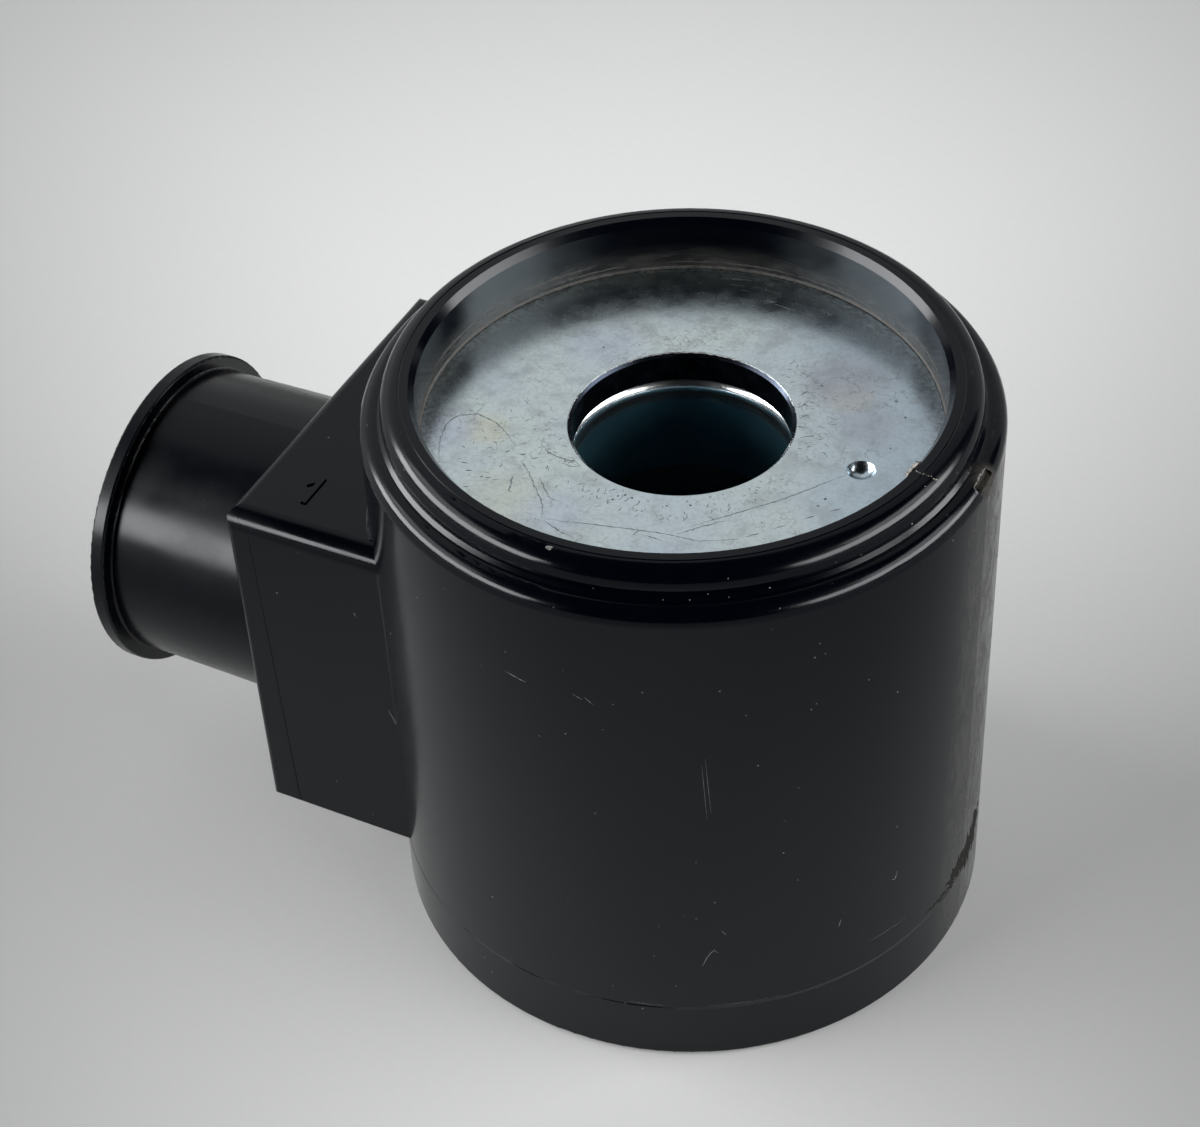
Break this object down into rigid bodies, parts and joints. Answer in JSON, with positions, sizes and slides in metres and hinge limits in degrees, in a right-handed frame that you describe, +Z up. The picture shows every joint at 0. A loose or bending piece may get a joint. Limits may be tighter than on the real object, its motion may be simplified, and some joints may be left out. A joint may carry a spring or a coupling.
{
  "type": "solenoid valve coil",
  "caption": "Encapsulated round solenoid coil with a through bore for a valve tube, a plated steel plate in a shallow recess, and a side block with a round flanged plug socket.",
  "frame": {"origin": "on the axis of the bore, in the flat seat face at the bottom", "axes": "+Z up the bore towards the recessed plate, -X towards the open end of the connector, so that Y is across the tower"},
  "size_m": [0.0711, 0.0472, 0.0481],
  "materials": {
    "housing_plastic": "semi-gloss black glass-filled moulding with light handling wear",
    "plated_steel": "zinc plated, blotchy grey with a faint yellow and blue tint, scratched",
    "bright_steel": "drawn steel with a bright rounded lip",
    "bobbin_plastic": "matt black moulding",
    "copper_wire": "enamelled copper wire",
    "tape": "amber insulating film",
    "carrier_plastic": "matt dark moulding",
    "contact_brass": "dull tinned brass",
    "solder": "dull solder"
  },
  "bodies": {
    "root": {"housing": "housing_plastic", "upper_flux_plate": "plated_steel", "lower_flux_plate": "plated_steel", "flux_shell": "plated_steel", "upper_flux_collar": "bright_steel", "lower_flux_collar": "bright_steel", "bobbin": "bobbin_plastic", "winding": "copper_wire", "winding_wrap": "tape", "terminal_carrier": "carrier_plastic", "contact_pin_a": "contact_brass", "contact_pin_b": "contact_brass", "terminal_strip_a": "contact_brass", "terminal_strip_b": "contact_brass", "start_lead": "copper_wire", "finish_lead": "copper_wire", "start_sleeve": "tape", "start_solder": "solder", "finish_solder": "solder"}
  },
  "joints": []
}
